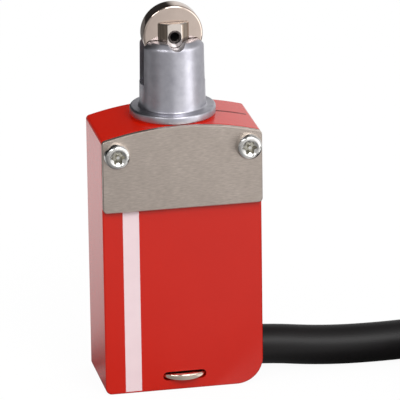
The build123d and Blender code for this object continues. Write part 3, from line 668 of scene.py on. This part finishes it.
# Connector clip: flat spring wire with rolled edges, bent to a fork whose bow shows in the slot.
# The bow thins towards its ends, and its edges catch the light from above.
clip_steel = mottled_finish(
    "rolled_spring_wire", 1.2, "F7E6D6", "E9D6C6", relief=(0.25, 0.03), Metallic=1.0, Roughness=0.16
)
clip_middle, clip_half_height, clip_band = 2.8, 0.6, 1.5
clip_half_width, leg_end = 3.9, 5.0
bow_radius, bow_front, bow_end = 5.125, -9.4, -7.0
bow_thinning, rolled_edge, sharp_angle = 0.35, 0.3, 1.2
half_bow = math.asin(clip_half_width / bow_radius)
bow_centre = Vector((0, bow_front + bow_radius, clip_middle))
half_turn = Matrix.Rotation(math.pi, 3, "Z")
to_bow_end = Matrix.Rotation(math.pi / 2 - half_bow, 3, "Z")
shape = bmesh.new()
bmesh.ops.create_grid(shape, x_segments=1, y_segments=1, size=0.5)
bmesh.ops.scale(shape, vec=(clip_band * MM, 2 * clip_half_height * MM, 1), verts=shape.verts)
lay_along_y(shape, shape.verts, Vector((0, 0, 0)))
bmesh.ops.rotate(shape, cent=(0, 0, 0), matrix=half_turn, verts=shape.verts)
bmesh.ops.translate(
    shape, vec=(bow_centre + Vector((-bow_radius + clip_band / 2, 0, 0))) * MM, verts=shape.verts
)
bmesh.ops.rotate(shape, cent=bow_centre * MM, matrix=to_bow_end, verts=shape.verts)
first_leg = shape.faces[:]
spun = bmesh.ops.spin(
    shape, geom=first_leg, cent=bow_centre * MM, axis=(0, 0, 1), angle=2 * half_bow, steps=24
)
last_leg = [item for item in spun["geom_last"] if isinstance(item, bmesh.types.BMFace)]
for end in (first_leg, last_leg):
    pulled = bmesh.ops.extrude_face_region(shape, geom=end)["geom"]
    bmesh.ops.delete(shape, geom=end, context="FACES")
    for corner in [item for item in pulled if isinstance(item, bmesh.types.BMVert)]:
        side = 1 if corner.co.x > 0 else -1
        inner = abs(corner.co.x) < (clip_half_width - clip_band / 2) * MM
        corner.co.x = side * (clip_half_width - (clip_band if inner else 0)) * MM
        corner.co.y = leg_end * MM
for corner in shape.verts:
    thin = 1.0 - bow_thinning
    if corner.co.y < bow_end * MM:
        thin = 1.0 - bow_thinning * min(1.0, abs(corner.co.x) / (clip_half_width * MM)) ** 2
    corner.co.z = (clip_middle + (corner.co.z / MM - clip_middle) * thin) * MM
bmesh.ops.recalc_face_normals(shape, faces=shape.faces)
long_edges = [
    edge for edge in shape.edges
    if edge.is_manifold and edge.calc_face_angle() > sharp_angle
]
bmesh.ops.bevel(
    shape, geom=long_edges, offset=rolled_edge * MM, offset_type="OFFSET", segments=4, profile=0.5,
    affect="EDGES", material=-1,
)
clip = add_piece("connector_clip", shape, [clip_steel], "switch_body", "spring_steel", "connector_fork")
smooth_by_angle(clip, 40.0)

# Head's O-rings, connector's ring and cable sleeve: black nitrile rubber, compression moulded.
# Their skin is matt and very dark, and slightly rough.
rubber = mottled_finish(
    "nitrile_rubber", 2.0, "1B1B1C", "262627", relief=(0.3, 0.02), Roughness=0.65, IOR=1.52
)
for name in ("head_seal", "plunger_seal", "connector_seal", "cable_sleeve"):
    dress(name, rubber)

# Contact block and connector: black glass-filled polyamide, injection moulded.
# The glass gives a dull skin with fine pale flecks.
polyamide = mottled_finish(
    "glass_filled_polyamide", 3.0, "1E1D1D", "2D2B2A", relief=(0.3, 0.02), Roughness=0.5, IOR=1.53
)
for name in ("contact_base", "contact_cover", "connector_body"):
    dress(name, polyamide)

# Contact carrier: white acetal, injection moulded, and guided between the block's halves.
# It is smooth and waxy, so that it slides, and lets a little light in.
acetal = mottled_finish(
    "white_acetal", 0.5, "E8E4DA", "DEDAD0", Roughness=0.35, IOR=1.48, Subsurface_Weight=0.1
)
dress("contact_carrier", acetal)

# Fixed contacts and connector pins: brass strip, stamped and pressed into the mouldings.
# It is yellow, with a soft rolled shine.
brass = mottled_finish("stamped_brass", 1.5, "D9B45F", "C7A24F", Metallic=1.0, Roughness=0.3)
for name in ("fixed_contacts_nc", "fixed_contacts_no", "connector_pins"):
    dress(name, brass)

# Moving bridges: silver-plated copper alloy, stamped, and held in the carrier's windows by
# their springs. The plating is pale and bright.
silver = mottled_finish("silver_plate", 1.5, "E4E1DB", "D3D0CA", Metallic=1.0, Roughness=0.22)
dress("contact_bridges", silver)

# Table and light: a white sheet on a table, with a white tent at the right and in front, which
# is dim at the left and dark behind. A soft lamp stands above the camera, to its right, and a
# weak strip lamp at the left. Each level is the tent's, so many degrees to the right of the front.
tent_levels = [
    (-180, 1.0), (-158, 1.0), (-146, 0.85), (-130, 0.38), (-118, 0.2), (-108, 0.4), (-98, 0.44),
    (-88, 0.2), (-62, 0.24), (-50, 0.42), (-33, 0.38), (-11, 0.5), (11, 0.82), (31, 1.0),
    (38, 2.0), (52, 2.7), (60, 2.4), (67, 1.2), (84, 0.85), (102, 0.72), (125, 0.7), (180, 1.0),
]
brightest = 2.8  # a ramp's colours end at 1, so its stops are shares of this


def tent_light(tree, direction, beyond):
    """How bright the tent is in a mirror, by the side that is looked at, and dark beyond the sheet."""
    sides = add_node(tree, "ShaderNodeSeparateXYZ", {"Vector": direction})
    front = add_node(tree, "ShaderNodeMath", {0: sides.outputs["Y"], 1: -1.0}, operation="MULTIPLY")
    turn = add_node(
        tree, "ShaderNodeMath", {0: sides.outputs["X"], 1: front.outputs[0]}, operation="ARCTAN2"
    )
    share = add_node(
        tree, "ShaderNodeMapRange", {"Value": turn.outputs[0], "From Min": -math.pi, "From Max": math.pi}
    )
    ramp = add_node(tree, "ShaderNodeValToRGB", {"Fac": share.outputs[0]})
    while len(ramp.color_ramp.elements) < len(tent_levels):
        ramp.color_ramp.elements.new(0.5)
    for stop, (degrees, level) in zip(ramp.color_ramp.elements, tent_levels):
        stop.position = (degrees + 180) / 360
        stop.color = (*[level / brightest] * 3, 1.0)
    right = add_node(
        tree, "ShaderNodeMapRange",
        {"Value": sides.outputs["X"], "From Min": 0.07, "From Max": 0.28, "To Min": 0.03, "To Max": 1.0},
        interpolation_type="SMOOTHSTEP",
    )
    back = add_node(tree, "ShaderNodeMix", {0: beyond, 2: 1.0, 3: right.outputs[0]})
    above = add_node(
        tree, "ShaderNodeMapRange",
        {"Value": sides.outputs["Z"], "From Min": 0.3, "From Max": 0.7, "To Min": brightest, "To Max": 1.5},
        interpolation_type="SMOOTHSTEP",
    )
    level = add_node(tree, "ShaderNodeMath", {0: ramp.outputs[0], 1: back.outputs[0]}, operation="MULTIPLY")
    return add_node(
        tree, "ShaderNodeMath", {0: level.outputs[0], 1: above.outputs[0]}, operation="MULTIPLY"
    ).outputs[0]


def ray_kinds(tree):
    """Which rays come from the camera, and which from a mirroring or clear surface."""
    path = add_node(tree, "ShaderNodeLightPath")
    mirrored = add_node(
        tree, "ShaderNodeMath",
        {0: path.outputs["Is Glossy Ray"], 1: path.outputs["Is Transmission Ray"]},
        operation="MAXIMUM",
    )
    return path.outputs["Is Camera Ray"], mirrored.outputs[0]


# The camera sees the sheet nearly white, with a trace of shadow, and to other light it is matt.
# In a mirror it shows the tent's light, darker near the body and beside the cable, where they
# keep it off.
white_light = srgb("FFFFFF")
sheet_white, white_share = 1.03, 0.92
cable_shade = Vector((55.0, 5.0, 0.0)) * MM
shape = bmesh.new()
bmesh.ops.create_grid(shape, x_segments=1, y_segments=1, size=3.0)
mesh = bpy.data.meshes.new("table_top")
shape.to_mesh(mesh)
shape.free()
table_top = bpy.data.objects.new("table_top", mesh)
bpy.context.scene.collection.objects.link(table_top)
paper = bpy.data.materials.new("white_paper")
paper.use_nodes = True
tree = paper.node_tree
tree.nodes.remove(tree.nodes["Principled BSDF"])
camera_ray, mirrored = ray_kinds(tree)
spot = add_node(tree, "ShaderNodeTexCoord").outputs["Object"]
away = add_node(tree, "ShaderNodeVectorMath", {0: spot}, operation="NORMALIZE")
distance = add_node(tree, "ShaderNodeVectorMath", {0: spot}, operation="LENGTH")
sides = add_node(tree, "ShaderNodeSeparateXYZ", {"Vector": spot})
sheet_end = add_node(
    tree, "ShaderNodeMapRange",
    {"Value": sides.outputs["Y"], "From Min": 145 * MM, "From Max": 185 * MM, "To Max": 0.85},
    interpolation_type="SMOOTHSTEP",
)
near_body = add_node(
    tree, "ShaderNodeMapRange",
    {"Value": distance.outputs["Value"], "From Min": 10 * MM, "From Max": 140 * MM, "To Min": 0.72},
    interpolation_type="SMOOTHSTEP",
)
from_cable = add_node(tree, "ShaderNodeVectorMath", {0: spot, 1: cable_shade}, operation="DISTANCE")
beside_cable = add_node(
    tree, "ShaderNodeMapRange",
    {"Value": from_cable.outputs["Value"], "From Min": 20 * MM, "From Max": 70 * MM, "To Min": 0.1},
    interpolation_type="SMOOTHSTEP",
)
shade = add_node(
    tree, "ShaderNodeMath", {0: near_body.outputs[0], 1: beside_cable.outputs[0]}, operation="MULTIPLY"
)
sheen = add_node(
    tree, "ShaderNodeMath",
    {0: tent_light(tree, away.outputs[0], sheet_end.outputs[0]), 1: shade.outputs[0]},
    operation="MULTIPLY",
)
matt = add_node(tree, "ShaderNodeBsdfDiffuse", {"Color": srgb("CBCBCB")})
white = add_node(tree, "ShaderNodeEmission", {"Color": white_light, "Strength": sheet_white})
glow = add_node(tree, "ShaderNodeEmission", {"Color": white_light, "Strength": sheen.outputs[0]})
share = add_node(tree, "ShaderNodeMath", {0: camera_ray, 1: white_share}, operation="MULTIPLY")
seen = add_node(tree, "ShaderNodeMixShader", {0: share.outputs[0], 1: matt.outputs[0], 2: white.outputs[0]})
whole = add_node(tree, "ShaderNodeMixShader", {0: mirrored, 1: seen.outputs[0], 2: glow.outputs[0]})
tree.links.new(whole.outputs[0], tree.nodes["Material Output"].inputs["Surface"])
mesh.materials.append(paper)

# Round the table, mirrors show the tent, with a faint haze low in front. Matt surfaces get a
# soft light that grows upwards and to the right, and the camera sees plain white.
soft_slope, soft_base = (0.35, -0.1, 1.2), 0.24
tent = bpy.data.worlds.new("white_tent")
bpy.context.scene.world = tent
tent.use_nodes = True
tree = tent.node_tree
tree.nodes.clear()
camera_ray, mirrored = ray_kinds(tree)
direction = add_node(tree, "ShaderNodeTexCoord").outputs["Generated"]
sides = add_node(tree, "ShaderNodeSeparateXYZ", {"Vector": direction})
behind = add_node(
    tree, "ShaderNodeMapRange", {"Value": sides.outputs["Y"], "From Min": -0.15, "From Max": 0.3},
    interpolation_type="SMOOTHSTEP",
)
low = add_node(
    tree, "ShaderNodeMapRange",
    {"Value": sides.outputs["Z"], "From Min": 0.1, "From Max": 0.6, "To Min": 0.25, "To Max": 0.0},
)
before = add_node(tree, "ShaderNodeMath", {0: 1.0, 1: behind.outputs[0]}, operation="SUBTRACT")
haze = add_node(tree, "ShaderNodeMath", {0: low.outputs[0], 1: before.outputs[0]}, operation="MULTIPLY")
strength = add_node(
    tree, "ShaderNodeMath",
    {0: tent_light(tree, direction, behind.outputs[0]), 1: haze.outputs[0]},
    operation="ADD",
)
sheen = add_node(tree, "ShaderNodeBackground", {"Color": white_light, "Strength": strength.outputs[0]})
slope = add_node(tree, "ShaderNodeVectorMath", {0: direction, 1: soft_slope}, operation="DOT_PRODUCT")
level = add_node(
    tree, "ShaderNodeMath", {0: slope.outputs["Value"], 1: soft_base}, operation="ADD", use_clamp=True
)
soft = add_node(tree, "ShaderNodeBackground", {"Color": white_light, "Strength": level.outputs[0]})
white = add_node(tree, "ShaderNodeBackground", {"Color": white_light, "Strength": 1.0})
indirect = add_node(tree, "ShaderNodeMixShader", {0: mirrored, 1: soft.outputs[0], 2: sheen.outputs[0]})
whole = add_node(tree, "ShaderNodeMixShader", {0: camera_ray, 1: indirect.outputs[0], 2: white.outputs[0]})
add_node(tree, "ShaderNodeOutputWorld", {"Surface": whole.outputs[0]})


def add_lamp(name, azimuth, elevation, distance, width, height, power):
    """An area lamp that looks at the switch from that side, with its sizes in metres."""
    data = bpy.data.lights.new(name, "AREA")
    data.shape = "RECTANGLE"
    data.size, data.size_y = width, height
    data.energy = power
    a, e = math.radians(azimuth), math.radians(elevation)
    back = Vector((math.sin(a) * math.cos(e), -math.cos(a) * math.cos(e), math.sin(e)))
    lamp = bpy.data.objects.new(name, data)
    lamp.location = Vector((0, 0, 0.04)) + back * distance
    lamp.rotation_mode = "QUATERNION"
    lamp.rotation_quaternion = (-back).to_track_quat("-Z", "Y")
    bpy.context.scene.collection.objects.link(lamp)


add_lamp("key_lamp", azimuth=14, elevation=41, distance=0.9, width=0.42, height=0.42, power=3.5)
add_lamp("glint_lamp", azimuth=-46, elevation=40, distance=0.9, width=0.5, height=0.12, power=1.5)

view_settings = bpy.context.scene.view_settings
view_settings.view_transform = "Standard"
